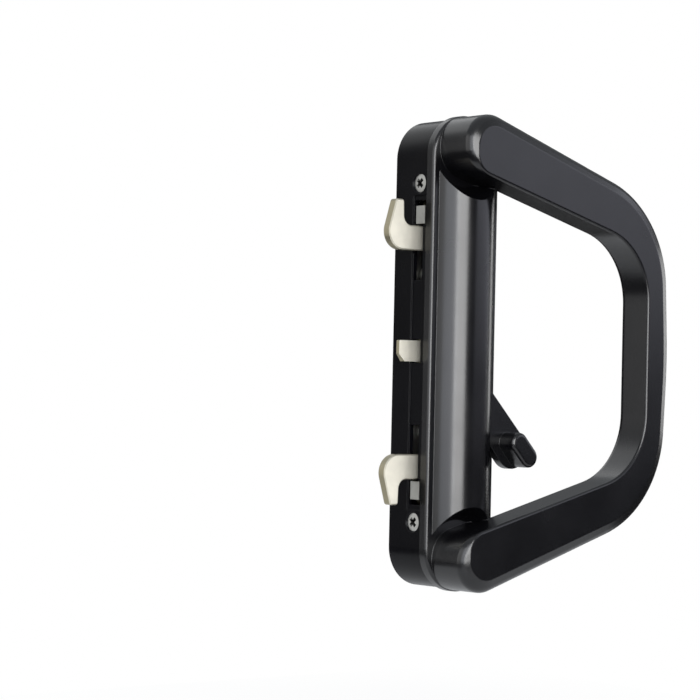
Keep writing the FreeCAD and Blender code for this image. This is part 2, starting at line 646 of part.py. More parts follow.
def drive_slide():
    """Flat slide with cross slots that link lever, hub and hooks, guided on two screws."""
    upper_x, upper_z = hook_pin_place(1)
    lower_x, lower_z = hook_pin_place(-1)
    crank_x, crank_z = crank_pin_place()
    hub_x, hub_z = hub_pin_place()
    play = DRIVE_PIN_RADIUS + SLOT_PLAY
    top = upper_z + play + SLIDE_MARGIN
    bottom = lower_z - play - SLIDE_MARGIN
    step = lower_z + play + SLIDE_MARGIN
    outline = rounded_outline([
        (-SLIDE_LEFT, top, SLIDE_CORNER),
        (-SLIDE_RIGHT, top, SLIDE_CORNER),
        (-SLIDE_RIGHT, step, SLIDE_CORNER),
        (SLIDE_FOOT_RIGHT, step, SLIDE_CORNER),
        (SLIDE_FOOT_RIGHT, bottom, SLIDE_CORNER),
        (-SLIDE_LEFT, bottom, SLIDE_CORNER),
    ])
    slide = slab(outline, SLIDE_BACK, SLIDE_FRONT)
    slots = [
        flat_slot(HOOK_PIVOT_X - HOOK_PIN_ORBIT, upper_x, upper_z, play, SLIDE_BACK, SLIDE_FRONT),
        flat_slot(lower_x, HOOK_PIVOT_X + HOOK_PIN_ORBIT, lower_z, play, SLIDE_BACK, SLIDE_FRONT),
        flat_slot(-CRANK_ORBIT, crank_x, crank_z, CRANK_PIN_RADIUS + SLOT_PLAY, SLIDE_BACK, SLIDE_FRONT),
        flat_slot(-HUB_ORBIT, hub_x, hub_z, CRANK_PIN_RADIUS + SLOT_PLAY, SLIDE_BACK, SLIDE_FRONT),
    ]
    run = GUIDE_RADIUS + RUNNING
    for side in (-1, 1):
        low = side * GUIDE_Z - RUNNING
        high = side * GUIDE_Z + SLIDE_TRAVEL + RUNNING
        guide = link_outline(GUIDE_X, low, run, GUIDE_X, high, run)
        slots.append(slab(guide, SLIDE_BACK, SLIDE_FRONT))
    return slide.cut(slots)


def slide_guides():
    """Two shoulder screws that guide the drive slide."""
    guides = []
    pad_top = SLIDE_BACK - MOVING_GAP
    head_back = SLIDE_FRONT + MOVING_GAP
    for side in (-1, 1):
        z = side * GUIDE_Z
        shank = disc(GUIDE_X, z, GUIDE_RADIUS, pad_top - GUIDE_THREAD, head_back)
        head = disc(GUIDE_X, z, GUIDE_HEAD_RADIUS, head_back, head_back + GUIDE_HEAD_HEIGHT)
        recess = cross_recess(at(GUIDE_X, head_back + GUIDE_HEAD_HEIGHT, z), -TOWARDS_ROOM)
        guides.append(shank.fuse(head).cut(recess))
    return Part.makeCompound(guides)


def tailpiece_hub():
    """Hub in the case's back that the outside cylinder's flat tailpiece turns."""
    barrel = disc(0, 0, HUB_RADIUS, 0, HUB_DISC_BACK)
    plate = disc(0, 0, HUB_DISC_RADIUS, HUB_DISC_BACK, HUB_DISC_FRONT)
    x, z = hub_pin_place()
    pin = disc(x, z, CRANK_PIN_RADIUS, HUB_DISC_BACK, SLIDE_FRONT)
    socket = block(-TAILPIECE_WIDTH / 2, TAILPIECE_WIDTH / 2, 0, HUB_DISC_FRONT,
                   -TAILPIECE_HEIGHT / 2, TAILPIECE_HEIGHT / 2)
    return barrel.fuse([plate, pin]).cut(socket).removeSplitter()


def shaft_square(back, front, play):
    """Square drive of the lever shaft, turned with the lever's arm."""
    half = SHAFT_SQUARE / 2 + play
    square = block(-half, half, back, front, -half, half)
    square.rotate(FreeCAD.Vector(0, 0, 0), TOWARDS_ROOM, LEVER_ANGLE)
    square.translate(UP * LEVER_Z)
    return square


def thumb_lever():
    """Cast lever: hub on the shaft's square, flat arm and an oval thumb knob."""
    end_x, end_z = polar(LEVER_ANGLE, LEVER_LENGTH)
    end_z = LEVER_Z + end_z
    arm = slab(link_outline(0, LEVER_Z, LEVER_HUB_RADIUS, end_x, end_z, LEVER_END_RADIUS),
               LEVER_BACK, LEVER_FRONT)
    boss = disc(0, LEVER_Z, LEVER_HUB_RADIUS, LEVER_BACK - LEVER_BOSS_DEPTH, LEVER_FRONT)
    reach_x, reach_z = polar(LEVER_ANGLE, (KNOB_LENGTH - KNOB_WIDTH) / 2)
    knob_outline = link_outline(end_x - reach_x, end_z - reach_z, KNOB_WIDTH / 2,
                                end_x + reach_x, end_z + reach_z, KNOB_WIDTH / 2)
    knob = slab(knob_outline, LEVER_BACK, LEVER_FRONT + KNOB_HEIGHT)
    knob = knob.makeFillet(KNOB_EDGE, edges_at_depth(knob, LEVER_FRONT + KNOB_HEIGHT))
    lever = arm.fuse([boss, knob]).removeSplitter()
    return lever.cut(shaft_square(LEVER_BACK - LEVER_BOSS_DEPTH, LEVER_FRONT, SEAT))


def lever_shaft():
    """Turned shaft with a square at each end for the lever and the crank."""
    journal_front = LEVER_BACK - LEVER_BOSS_DEPTH
    journal = disc(0, LEVER_Z, SHAFT_RADIUS, CRANK_FRONT, journal_front)
    shaft = journal.fuse([
        shaft_square(CRANK_BACK, CRANK_FRONT, 0),
        shaft_square(journal_front, LEVER_FRONT - MOVING_GAP, 0),
    ])
    thread = disc(0, LEVER_Z, LEVER_SCREW_RADIUS + SEAT, LEVER_FRONT - LEVER_SCREW_LENGTH, LEVER_FRONT)
    return shaft.cut(thread).removeSplitter()


def lever_crank():
    """Crank on the shaft's back end, with the pin that moves the drive slide."""
    x, z = crank_pin_place()
    radius = CRANK_PIN_RADIUS + CRANK_MARGIN
    hub = SHAFT_RADIUS + CRANK_MARGIN
    arm = slab(link_outline(0, LEVER_Z, hub, x, z, radius), CRANK_BACK, CRANK_FRONT)
    pin = disc(x, z, CRANK_PIN_RADIUS, SLIDE_BACK, CRANK_FRONT)
    return arm.fuse(pin).cut(shaft_square(CRANK_BACK, CRANK_FRONT, SEAT)).removeSplitter()


def lever_screw():
    """Screw that holds the lever on its shaft."""
    return pan_screw(0, LEVER_Z, LEVER_FRONT, LEVER_SCREW_HEAD, LEVER_SCREW_HEAD_HEIGHT,
                     LEVER_SCREW_RADIUS, LEVER_SCREW_LENGTH)


def lever_bush():
    """Flanged brass bush in the mechanism plate that the lever shaft turns in."""
    outer = SHAFT_RADIUS + BUSH_WALL
    front = PLATE_FRONT + BUSH_FLANGE_THICKNESS
    sleeve = disc(0, LEVER_Z, outer, PLATE_FRONT - BUSH_LENGTH, front)
    flange = disc(0, LEVER_Z, outer + BUSH_FLANGE, PLATE_FRONT, front)
    return sleeve.fuse(flange).cut(disc(0, LEVER_Z, SHAFT_RADIUS + RUNNING, 0, BAR_FRONT)).removeSplitter()


def plunger_depth():
    """Depth of the middle of the plunger, in the hooks' layer."""
    return (HOOK_FRONT + HOOK_DEPTH) / 2


def plunger_middle():
    """Height of the middle of the plunger."""
    return (PLUNGER_TOP + PLUNGER_BOTTOM) / 2


def plunger_tail():
    """X of the plunger's inner end, where its spring pushes."""
    return INNER_SIDE + PLUNGER_TAIL


def spring_end():
    """X of the plunger spring's fixed end."""
    return plunger_tail() + SPRING_LENGTH


def centre_plunger():
    """Sliding plunger with a bevelled nose and a shoulder behind the case's side."""
    nose = SIDE_FACE - PLUNGER_REACH
    tail = plunger_tail()
    back = plunger_depth() - PLUNGER_THICKNESS / 2
    front = plunger_depth() + PLUNGER_THICKNESS / 2
    outline = rounded_outline([
        (nose, PLUNGER_TOP, PLUNGER_CORNER),
        (tail, PLUNGER_TOP, 0),
        (tail, PLUNGER_BOTTOM, 0),
        (nose + PLUNGER_BEVEL, PLUNGER_BOTTOM, PLUNGER_CORNER),
        (nose, PLUNGER_BOTTOM + PLUNGER_BEVEL, PLUNGER_CORNER),
    ])
    shoulder_left = INNER_SIDE + RUNNING
    shoulder = block(shoulder_left, shoulder_left + PLUNGER_SHOULDER_LENGTH, back, front,
                     PLUNGER_BOTTOM - PLUNGER_SHOULDER, PLUNGER_TOP + PLUNGER_SHOULDER)
    bevel = Part.makePolygon([
        at(nose, back, PLUNGER_BOTTOM),
        at(nose, front - PLUNGER_NOSE, PLUNGER_BOTTOM),
        at(nose + PLUNGER_NOSE_LENGTH, back, PLUNGER_BOTTOM),
        at(nose, back, PLUNGER_BOTTOM),
    ])
    wedge = Part.Face(bevel).extrude(UP * (PLUNGER_TOP - PLUNGER_BOTTOM))
    return slab(outline, back, front).cut(wedge).fuse(shoulder).removeSplitter()


def plunger_spring():
    """Compression spring that pushes the plunger out."""
    coil = Part.makeHelix(SPRING_PITCH, SPRING_LENGTH - 2 * SPRING_WIRE, SPRING_RADIUS)
    start = FreeCAD.Vector(SPRING_RADIUS, 0, 0)
    section = Part.Wire([Part.makeCircle(SPRING_WIRE, start, FreeCAD.Vector(0, 1, 0))])
    spring = Part.Wire(coil.Edges).makePipeShell([section], True, True)
    place = at(plunger_tail() + SPRING_WIRE, plunger_depth(), plunger_middle())
    spring.Placement = FreeCAD.Placement(place, FreeCAD.Rotation(UP, ALONG_X))
    return spring


NODES = {
    "lock_case": lock_case(),
    "pull_handle": pull_handle(),
    "side_screws": side_screws(),
    "mechanism_plate": mechanism_plate(),
    "mechanism_screws": mechanism_screws(),
    "hook_pivots": hook_pivots(),
    "upper_hook": hook(1),
    "upper_hook_pin": hook_pin(1),
    "lower_hook": hook(-1),
    "lower_hook_pin": hook_pin(-1),
    "drive_slide": drive_slide(),
    "slide_guides": slide_guides(),
    "tailpiece_hub": tailpiece_hub(),
    "thumb_lever": thumb_lever(),
    "lever_shaft": lever_shaft(),
    "lever_crank": lever_crank(),
    "lever_screw": lever_screw(),
    "lever_bush": lever_bush(),
    "centre_plunger": centre_plunger(),
    "plunger_spring": plunger_spring(),
}

os.makedirs("parts", exist_ok=True)
for name, shape in NODES.items():
    shape.exportStep(os.path.join("parts", name + ".step"))
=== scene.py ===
import math

import bmesh
import bpy
from mathutils import Matrix, Vector


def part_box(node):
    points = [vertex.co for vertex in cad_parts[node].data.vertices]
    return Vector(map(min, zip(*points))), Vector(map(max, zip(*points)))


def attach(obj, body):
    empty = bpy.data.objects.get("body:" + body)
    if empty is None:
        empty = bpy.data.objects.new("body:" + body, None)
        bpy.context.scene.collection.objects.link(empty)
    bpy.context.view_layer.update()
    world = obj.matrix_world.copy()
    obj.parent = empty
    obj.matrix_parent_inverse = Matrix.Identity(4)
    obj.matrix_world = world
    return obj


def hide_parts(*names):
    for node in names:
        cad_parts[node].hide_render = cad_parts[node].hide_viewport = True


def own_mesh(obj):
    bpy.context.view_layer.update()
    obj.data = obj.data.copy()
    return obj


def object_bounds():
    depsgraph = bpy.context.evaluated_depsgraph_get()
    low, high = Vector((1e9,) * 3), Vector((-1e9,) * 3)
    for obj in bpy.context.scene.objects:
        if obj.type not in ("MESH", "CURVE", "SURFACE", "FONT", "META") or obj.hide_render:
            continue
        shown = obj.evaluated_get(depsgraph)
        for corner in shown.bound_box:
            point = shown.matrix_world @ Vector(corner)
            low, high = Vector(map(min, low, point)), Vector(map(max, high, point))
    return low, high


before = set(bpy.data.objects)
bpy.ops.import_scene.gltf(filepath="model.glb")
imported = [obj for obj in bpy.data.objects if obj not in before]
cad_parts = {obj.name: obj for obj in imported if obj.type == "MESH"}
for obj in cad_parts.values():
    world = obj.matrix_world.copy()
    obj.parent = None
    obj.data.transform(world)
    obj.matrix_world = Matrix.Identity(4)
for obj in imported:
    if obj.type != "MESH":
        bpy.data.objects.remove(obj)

bl_info = {
    "name": "Sliding patio door handle",
    "version": (1, 0, 0),
    "blender": (4, 5, 0),
    "location": "View3D > Sidebar > Door handle",
    "description": "Finishes, screws, spring and studio for a sliding door's inside pull",
    "category": "Object",
}

CAD_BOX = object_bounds()
MM = 0.001

# Pieces that share a finish
GLOSS_CASTINGS = ("pull_handle", "thumb_lever")
SATIN_CASTINGS = ("lock_case",)
NICKEL_PIECES = ("upper_hook", "lower_hook", "centre_plunger")
ZINC_PIECES = ("mechanism_plate", "drive_slide", "lever_crank", "tailpiece_hub")
STEEL_PIECES = ("hook_pivots", "upper_hook_pin", "lower_hook_pin", "lever_shaft")
BRASS_PIECES = ("lever_bush",)
PLAIN_SCREWS = ("mechanism_screws", "slide_guides", "lever_screw")

# Shared shader groups
PAINT_SKIN = "Sprayed paint skin"
METAL_GRAIN = "Plated metal grain"
# Group that paints shade into the base colour in corners and recesses
RECESS_SHADE = "Recess painted shade"

# Noise: scale per metre with its detail, and the span that most of its values lie in
PEEL_SCALE = 900.0
PEEL_DETAIL = 1.0
HAZE_NOISE = (45.0, 3.0)
DRIFT_NOISE = (14.0, 2.0)
GRAIN_NOISE = (900.0, 4.0)
BLOTCH_NOISE = (160.0, 3.0)
# Patches of the painted shade in recesses
SHADE_PATCH_NOISE = (400.0, 2.0)
NOISE_SPAN = (0.3, 0.7)

# Paint: specular level, darkest and lightest tone, bump and softened edges
GLOSS_SHINE = 0.5
SATIN_SHINE = 0.11
PAINT_TONES = (0.8, 1.25)
PAINT_BUMP = 0.05
PAINT_PEEL = 0.02 * MM
PAINT_EDGE = 0.4 * MM

# Metal: tones, bump and softened edges, shares of grain and blotches in the roughness
METAL_TONES = (0.92, 1.03)
METAL_BUMP = 0.12
METAL_SCRATCH = 0.03 * MM
METAL_EDGE = 0.3 * MM
GRAIN_SHARE = 0.6
BLOTCH_SHARE = 0.4
EDGE_SAMPLES = 6

# Roughness of each metal where it is smoothest and dullest
NICKEL_ROUGHNESS = (0.34, 0.46)
ZINC_ROUGHNESS = (0.42, 0.56)
STEEL_ROUGHNESS = (0.20, 0.34)
BRASS_ROUGHNESS = (0.18, 0.32)
WIRE_ROUGHNESS = (0.22, 0.34)

# Stretch of the grain: none, rolled along X or turned round Y
EVEN_GRAIN = (1.0, 1.0, 1.0)
ROLLED_GRAIN = (0.15, 1.0, 1.0)
TURNED_GRAIN = (1.0, 0.2, 1.0)

# Nickel: its metallic share on flat faces, and the turn of a face that counts as sheared
NICKEL_METALLIC = 0.4
SHEAR_SPAN = (0.45, 0.9)

# Painted shade in corners and recesses: how open a corner is that stays unshaded, and how patchy
# the rest is
PAINTED_SHADE_COLOUR = (0.008, 0.007, 0.006, 1.0)
SHADE_REACH = 2.2 * MM
SHADE_SAMPLES = 8
SHADE_OPEN_SPAN = (0.45, 0.95)
SHADE_PATCH_SPAN = (0.2, 0.6)
SHADE_COVER = (0.75, 0.95)

# Side screw: shank and rim as shares of the head's radius, point as shares of the shank's
SCREW_SIDES = 40
SHANK_SHARE = 0.49
RIM_SHARE = 0.05
POINT_WIDTH = 0.7
POINT_LENGTH = 0.5

# Dome: steps of radius and drop from the top, as shares of the head's radius and the rise
DOME_STEPS = ((0.8, 0.64), (0.5, 0.25), (0.2, 0.04))

# Cross recess: turn in degrees, and shares of its depth above the head and of its span and wing
CROSS_TURN = 45
CROSS_LIFT = 0.4
CROSS_MOUTH = (1.05, 1.1)
CROSS_FLOOR = (0.45, 0.7)

# Plunger spring
WIRE_RADIUS = 0.25 * MM
WIRE_TONE = 0.9
WIRE_SIDES = 10
STEPS_PER_TURN = 24

# Camera: a 36 mm sensor and the focal length in pixels of a 700 pixel image
SENSOR_WIDTH = 36.0
FOCAL_PIXELS = 2400.845
IMAGE_PIXELS = 700.0
CLIP_START = 0.01

# Room and floor: light by height, and the white round the handle's shadow
ROOM_COLOUR = (0.9, 0.95, 1.0, 1.0)
ROOM_HEIGHT_SPAN = (0.1, 0.9)
ROOM_STRENGTH = (0.0, 0.7)
FLOOR_COLOUR = (0.85, 0.85, 0.85, 1.0)
FLOOR_HALF = 0.25
SHADOW_REACH_SPAN = (0.15, 0.40)
SHADOW_WHITE = (0.8, 1.0)

# Lamps: name, azimuth and width in degrees, lower and upper edge in metres, level, tint
WHITE = (1.0, 1.0, 1.0)
CASTING_LAMPS = (
    ("key_box", -25.0, 35.0, -0.28, 1.0, "key_level", WHITE),
    ("near_wall", -57.0, 42.0, -0.25, 1.0, "near_level", (0.97, 1.0, 1.06)),
    ("left_wall", -107.0, 58.0, -0.25, 1.0, "left_level", WHITE),
    ("right_box", 52.0, 60.0, 0.06, 1.0, "right_level", (0.93, 0.95, 1.08)),
    ("side_wall", 92.0, 26.0, -0.10, 0.30, "side_level", WHITE),
    ("back_box", 180.0, 60.0, 0.5, 1.6, "back_level", WHITE),
)
METAL_LAMPS = (
    ("front_tent", 0.0, 130.0, -1.0, 1.4, "tent_level", WHITE),
    ("left_tent", -105.0, 60.0, -0.6, 1.2, "tent_side_level", WHITE),
    ("back_tent", 180.0, 90.0, -0.6, 1.2, "tent_side_level", WHITE),
)


# Shader helpers

def add_node(tree, kind, **values):
    """Add a node and set its plain properties."""
    node = tree.nodes.new(kind)
    for key, value in values.items():
        setattr(node, key, value)
    return node


def join(tree, source, target):
    """Link an output socket to an input socket."""
    tree.links.new(source, target)


def feed(tree, start, node, sources):
    """Link a tree's named inputs to the inputs of a node."""
    for target, source in sources.items():
        join(tree, start.outputs[source], node.inputs[target])


def set_pair(node, low, high, pair):
    """Set two number inputs of a node."""
    node.inputs[low].default_value, node.inputs[high].default_value = pair


def ranged(tree, value, span, result):
    """Map a value from one span to another, with a smooth ramp."""
    node = add_node(tree, "ShaderNodeMapRange", interpolation_type="SMOOTHSTEP")
    set_pair(node, "From Min", "From Max", span)
    set_pair(node, "To Min", "To Max", result)
    join(tree, value, node.inputs["Value"])
    return node.outputs["Result"]


def noise(tree, vector, scale, detail):
    """Return the value of a noise texture on a vector."""
    node = add_node(tree, "ShaderNodeTexNoise")
    node.inputs["Scale"].default_value = scale
    node.inputs["Detail"].default_value = detail
    join(tree, vector, node.inputs["Vector"])
    return node.outputs["Fac"]


def combined(tree, operation, first, second):
    """Return two values put together, each an output socket or a number."""
    node = add_node(tree, "ShaderNodeMath", operation=operation)
    for socket, value in zip(node.inputs, (first, second)):
        if isinstance(value, float):
            socket.default_value = value
        else:
            join(tree, value, socket)
    return node.outputs["Value"]


def new_group(name, inputs, outputs):
    """Start a shader group with named sockets and return it with its two ends."""
    group = bpy.data.node_groups.new(name, "ShaderNodeTree")
    for label, kind, default in inputs:
        socket = group.interface.new_socket(name=label, in_out="INPUT", socket_type=kind)
        if default is not None:
            socket.default_value = default
    for label, kind in outputs:
        group.interface.new_socket(name=label, in_out="OUTPUT", socket_type=kind)
    return group, add_node(group, "NodeGroupInput"), add_node(group, "NodeGroupOutput")


def spread_roughness(group, start, end, value):
    """Spread a noise value between a group's two roughness inputs."""
    spread = add_node(group, "ShaderNodeMapRange")
    set_pair(spread, "From Min", "From Max", NOISE_SPAN)
    join(group, value, spread.inputs["Value"])
    feed(group, start, spread, {"To Min": "Low Roughness", "To Max": "High Roughness"})
    join(group, spread.outputs["Result"], end.inputs["Roughness"])


def paint_skin_group():
    """Sprayed paint: a faint orange peel, a soft haze and a slow drift of tone."""
    group, start, end = new_group(
        PAINT_SKIN,
        [("Position", "NodeSocketVector", None), ("Peel Scale", "NodeSocketFloat", PEEL_SCALE),
         ("Low Roughness", "NodeSocketFloat", None), ("High Roughness", "NodeSocketFloat", None)],
        [("Roughness", "NodeSocketFloat"), ("Height", "NodeSocketFloat"),
         ("Drift", "NodeSocketFloat")])
    peel = add_node(group, "ShaderNodeTexNoise")
    peel.inputs["Detail"].default_value = PEEL_DETAIL
    feed(group, start, peel, {"Vector": "Position", "Scale": "Peel Scale"})
    haze = noise(group, start.outputs["Position"], *HAZE_NOISE)
    drift = noise(group, start.outputs["Position"], *DRIFT_NOISE)
    spread_roughness(group, start, end, haze)
    join(group, peel.outputs["Fac"], end.inputs["Height"])
    join(group, drift, end.inputs["Drift"])
    return group


def metal_grain_group():
    """Drawn or tumbled metal: fine grain along one direction and soft blotches of plating."""
    group, start, end = new_group(
        METAL_GRAIN,
        [("Position", "NodeSocketVector", None), ("Stretch", "NodeSocketVector", None),
         ("Low Roughness", "NodeSocketFloat", None), ("High Roughness", "NodeSocketFloat", None)],
        [("Roughness", "NodeSocketFloat"), ("Height", "NodeSocketFloat"),
         ("Blotch", "NodeSocketFloat")])
    scaled = add_node(group, "ShaderNodeVectorMath", operation="MULTIPLY")
    join(group, start.outputs["Position"], scaled.inputs[0])
    join(group, start.outputs["Stretch"], scaled.inputs[1])
    grain = noise(group, scaled.outputs["Vector"], *GRAIN_NOISE)
    blotch = noise(group, start.outputs["Position"], *BLOTCH_NOISE)
    mixed = add_node(group, "ShaderNodeMath", operation="MULTIPLY_ADD")
    mixed.inputs[1].default_value = GRAIN_SHARE
    join(group, grain, mixed.inputs[0])
    join(group, combined(group, "MULTIPLY", blotch, BLOTCH_SHARE), mixed.inputs[2])
    spread_roughness(group, start, end, mixed.outputs["Value"])
    join(group, grain, end.inputs["Height"])
    join(group, blotch, end.inputs["Blotch"])
    return group


def recess_shade_group():
    """Painted shade that darkens a colour in corners and recesses, in noisy patches."""
    group, start, end = new_group(
        RECESS_SHADE,
        [("Position", "NodeSocketVector", None), ("Unshaded Colour", "NodeSocketColor", None),
         ("Reach", "NodeSocketFloat", SHADE_REACH)],
        [("Colour", "NodeSocketColor")])
    hollow = add_node(group, "ShaderNodeAmbientOcclusion", samples=SHADE_SAMPLES, only_local=True)
    join(group, start.outputs["Reach"], hollow.inputs["Distance"])
    closed = ranged(group, hollow.outputs["AO"], SHADE_OPEN_SPAN, (1.0, 0.0))
    patches = noise(group, start.outputs["Position"], *SHADE_PATCH_NOISE)
    cover = ranged(group, patches, SHADE_PATCH_SPAN, SHADE_COVER)
    blend = add_node(group, "ShaderNodeMix", data_type="RGBA")
    blend.inputs["B"].default_value = PAINTED_SHADE_COLOUR
    join(group, combined(group, "MULTIPLY", closed, cover), blend.inputs["Factor"])
    join(group, start.outputs["Unshaded Colour"], blend.inputs["A"])
    join(group, blend.outputs["Result"], end.inputs["Colour"])
    return group


def placed(tree, name, builder, position):
    """Add a shader group, built at its first use, and give it the position."""
    group = bpy.data.node_groups.get(name) or builder()
    node = add_node(tree, "ShaderNodeGroup", node_tree=group)
    join(tree, position, node.inputs["Position"])
    return node


def rough(tree, node, roughness, shader):
    """Give a group its two roughness values and feed the result to the shader."""
    set_pair(node, "Low Roughness", "High Roughness", roughness)
    join(tree, node.outputs["Roughness"], shader.inputs["Roughness"])


def empty_material(name):
    """Return a new material with its shader and object coordinates."""
    material = bpy.data.materials.new(name)
    material.use_nodes = True
    tree = material.node_tree
    shader = tree.nodes["Principled BSDF"]
    position = add_node(tree, "ShaderNodeTexCoord").outputs["Object"]
    return material, tree, shader, position


def shade(colour, factor):
    """Return a colour made darker or lighter."""
    return tuple(channel * factor for channel in colour)


def two_tones(tree, factor, colour, tones, shader):
    """Let the base colour drift between a darker and a lighter tone."""
    blend = add_node(tree, "ShaderNodeMix", data_type="RGBA")
    for socket, tone in zip(("A", "B"), tones):
        blend.inputs[socket].default_value = (*shade(colour, tone), 1.0)
    join(tree, ranged(tree, factor, NOISE_SPAN, (0.0, 1.0)), blend.inputs["Factor"])
    join(tree, blend.outputs["Result"], shader.inputs["Base Color"])


def bumped(tree, height, strength, distance, edge, shader):
    """Feed a height to the shader's normal through a bump node, over softened edges."""
    soft = add_node(tree, "ShaderNodeBevel", samples=EDGE_SAMPLES)
    soft.inputs["Radius"].default_value = edge
    bump = add_node(tree, "ShaderNodeBump")
    bump.inputs["Strength"].default_value = strength
    bump.inputs["Distance"].default_value = distance
    join(tree, height, bump.inputs["Height"])
    join(tree, soft.outputs["Normal"], bump.inputs["Normal"])
    join(tree, bump.outputs["Normal"], shader.inputs["Normal"])


def painted(name, colour, roughness, shine):
    """Black paint sprayed on a casting."""
    material, tree, shader, position = empty_material(name)
    shader.inputs["Specular IOR Level"].default_value = shine
    skin = placed(tree, PAINT_SKIN, paint_skin_group, position)
    rough(tree, skin, roughness, shader)
    two_tones(tree, skin.outputs["Drift"], colour, PAINT_TONES, shader)
    bumped(tree, skin.outputs["Height"], PAINT_BUMP, PAINT_PEEL, PAINT_EDGE, shader)
    return material


def plated(name, colour, roughness, stretch, metallic=1.0):
    """Plated or bare metal with a fine grain and painted shade in its recesses."""
    material, tree, shader, position = empty_material(name)
    shader.inputs["Metallic"].default_value = metallic
    grain = placed(tree, METAL_GRAIN, metal_grain_group, position)
    grain.inputs["Stretch"].default_value = stretch
    rough(tree, grain, roughness, shader)
    two_tones(tree, grain.outputs["Blotch"], colour, METAL_TONES, shader)
    # Painted shade: the base colour darkens in corners and recesses
    recess_shade = placed(tree, RECESS_SHADE, recess_shade_group, position)
    join(tree, shader.inputs["Base Color"].links[0].from_socket, recess_shade.inputs["Unshaded Colour"])
    join(tree, recess_shade.outputs["Colour"], shader.inputs["Base Color"])
    bumped(tree, grain.outputs["Height"], METAL_BUMP, METAL_SCRATCH, METAL_EDGE, shader)
    return material


def sheared(material, colour):
    """Tone down the base colour on the sheared edges of a stamped piece."""
    tree = material.node_tree
    shader = tree.nodes["Principled BSDF"]
    plain = shader.inputs["Base Color"].links[0].from_socket
    facing = add_node(tree, "ShaderNodeSeparateXYZ")
    normal = add_node(tree, "ShaderNodeTexCoord").outputs["Normal"]
    join(tree, normal, facing.inputs["Vector"])
    flat = add_node(tree, "ShaderNodeMath", operation="ABSOLUTE")
    join(tree, facing.outputs["Y"], flat.inputs[0])
    blend = add_node(tree, "ShaderNodeMix", data_type="RGBA")
    blend.inputs["A"].default_value = (*colour, 1.0)
    plating = ranged(tree, flat.outputs["Value"], SHEAR_SPAN, (0.0, 1.0))
    join(tree, plating, blend.inputs["Factor"])
    join(tree, plain, blend.inputs["B"])
    join(tree, blend.outputs["Result"], shader.inputs["Base Color"])
    metallic = shader.inputs["Metallic"]
    bare = ranged(tree, flat.outputs["Value"], SHEAR_SPAN, (1.0, metallic.default_value))
    join(tree, bare, metallic)


def dress(nodes, material):
    """Give CAD nodes their material."""
    for node in nodes:
        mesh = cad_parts[node].data
        mesh.materials.clear()
        mesh.materials.append(material)


# Objects and geometry nodes

def scene_object(name, data):
    """Return a new object that is linked to the scene."""
    item = bpy.data.objects.new(name, data)
    bpy.context.scene.collection.objects.link(item)
    return item


def finished_mesh(source):
    """Return the mesh of an object with its modifiers applied."""
    depsgraph = bpy.context.evaluated_depsgraph_get()
    evaluated = source.evaluated_get(depsgraph)
    return bpy.data.meshes.new_from_object(evaluated, depsgraph=depsgraph)


def new_tree(name, inputs):
    """Start a geometry tree with named inputs and return it with its two ends."""
    tree = bpy.data.node_groups.new(name, "GeometryNodeTree")
    for label, kind in inputs:
        tree.interface.new_socket(name=label, in_out="INPUT", socket_type=kind)
    tree.interface.new_socket(
        name="Geometry", in_out="OUTPUT", socket_type="NodeSocketGeometry")
    return tree, add_node(tree, "NodeGroupInput"), add_node(tree, "NodeGroupOutput")


def close_tree(tree, start, end, geometry):
    """End a geometry tree in plain faces with the material input."""
    realize = add_node(tree, "GeometryNodeRealizeInstances")
    join(tree, geometry, realize.inputs["Geometry"])
    finish = add_node(tree, "GeometryNodeSetMaterial")
    join(tree, realize.outputs["Geometry"], finish.inputs["Geometry"])
    join(tree, start.outputs["Material"], finish.inputs["Material"])
    join(tree, finish.outputs["Geometry"], end.inputs["Geometry"])
    return tree


def screw_row_tree():
    """A screw repeated in a straight row."""
    tree, start, end = new_tree("Screw row", [
        ("Screw", "NodeSocketObject"), ("Count", "NodeSocketInt"), ("First", "NodeSocketVector"),
        ("Step", "NodeSocketVector"), ("Material", "NodeSocketMaterial")])
    row = add_node(tree, "GeometryNodeMeshLine", mode="OFFSET")
    feed(tree, start, row, {"Count": "Count", "Start Location": "First", "Offset": "Step"})
    source = add_node(tree, "GeometryNodeObjectInfo")
    join(tree, start.outputs["Screw"], source.inputs["Object"])
    place = add_node(tree, "GeometryNodeInstanceOnPoints")
    join(tree, row.outputs["Mesh"], place.inputs["Points"])
    join(tree, source.outputs["Geometry"], place.inputs["Instance"])
    return close_tree(tree, start, end, place.outputs["Instances"])


def coil_tree():
    """A wire wound into an open compression spring along X."""
    tree, start, end = new_tree("Wound spring", [
        ("Turns", "NodeSocketFloat"), ("Coil Radius", "NodeSocketFloat"),
        ("Length", "NodeSocketFloat"), ("Wire Radius", "NodeSocketFloat"),
        ("Start", "NodeSocketVector"), ("Material", "NodeSocketMaterial")])
    spiral = add_node(tree, "GeometryNodeCurveSpiral")
    spiral.inputs["Resolution"].default_value = STEPS_PER_TURN
    feed(tree, start, spiral, {"Rotations": "Turns", "Start Radius": "Coil Radius",
                               "End Radius": "Coil Radius", "Height": "Length"})
    ring = add_node(tree, "GeometryNodeCurvePrimitiveCircle")
    ring.inputs["Resolution"].default_value = WIRE_SIDES
    join(tree, start.outputs["Wire Radius"], ring.inputs["Radius"])
    wire = add_node(tree, "GeometryNodeCurveToMesh")
    wire.inputs["Fill Caps"].default_value = True
    join(tree, spiral.outputs["Curve"], wire.inputs["Curve"])
    join(tree, ring.outputs["Curve"], wire.inputs["Profile Curve"])
    smooth = add_node(tree, "GeometryNodeSetShadeSmooth")
    join(tree, wire.outputs["Mesh"], smooth.inputs["Geometry"])
    turned = add_node(tree, "GeometryNodeTransform")
    turned.inputs["Rotation"].default_value = (0.0, math.pi / 2, 0.0)
    join(tree, smooth.outputs["Geometry"], turned.inputs["Geometry"])
    join(tree, start.outputs["Start"], turned.inputs["Translation"])
    return close_tree(tree, start, end, turned.outputs["Geometry"])


